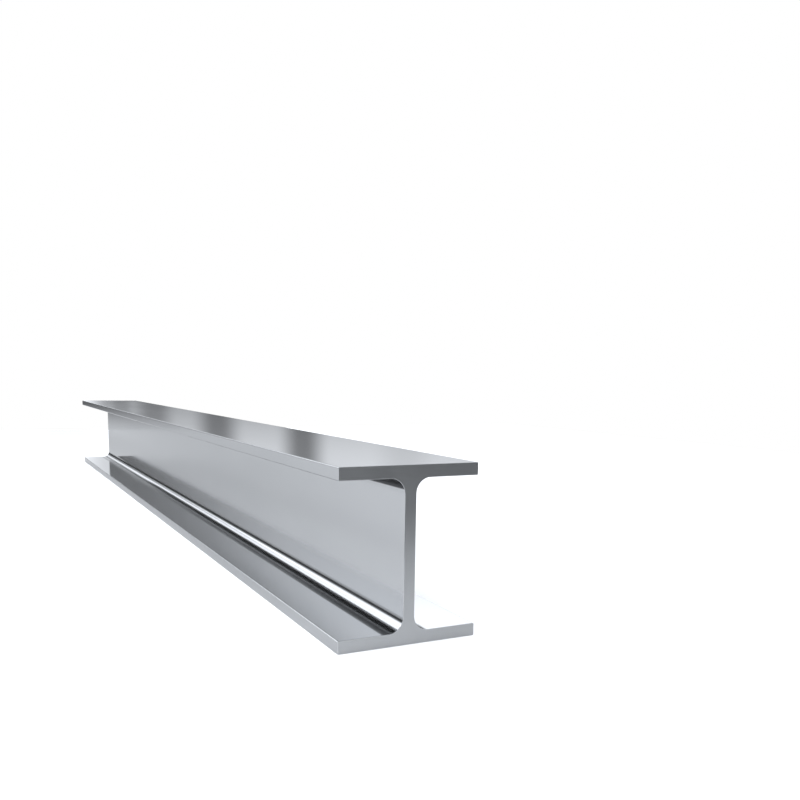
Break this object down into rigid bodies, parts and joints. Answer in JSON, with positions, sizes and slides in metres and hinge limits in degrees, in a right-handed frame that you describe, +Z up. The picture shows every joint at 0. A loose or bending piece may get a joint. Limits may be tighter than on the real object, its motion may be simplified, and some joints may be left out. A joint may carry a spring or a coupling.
{
  "type": "steel i-beam",
  "caption": "Length of rolled steel I-beam: two flat parallel flanges joined by a heavy upright web with curved roots, sawn square at both ends, bright steel finish.",
  "frame": {"origin": "middle of the beam's length and width, on the underside of the lower flange", "axes": "+X along the beam's length, +Y across the flanges, +Z up the web from the lower flange to the upper one"},
  "size_m": [1.6, 0.127, 0.15],
  "materials": {
    "steel": "bright polished rolled steel, smooth and clean, with a fine lengthwise grain and matt sawn ends"
  },
  "bodies": {
    "root": {"i_beam": "steel"}
  },
  "joints": []
}
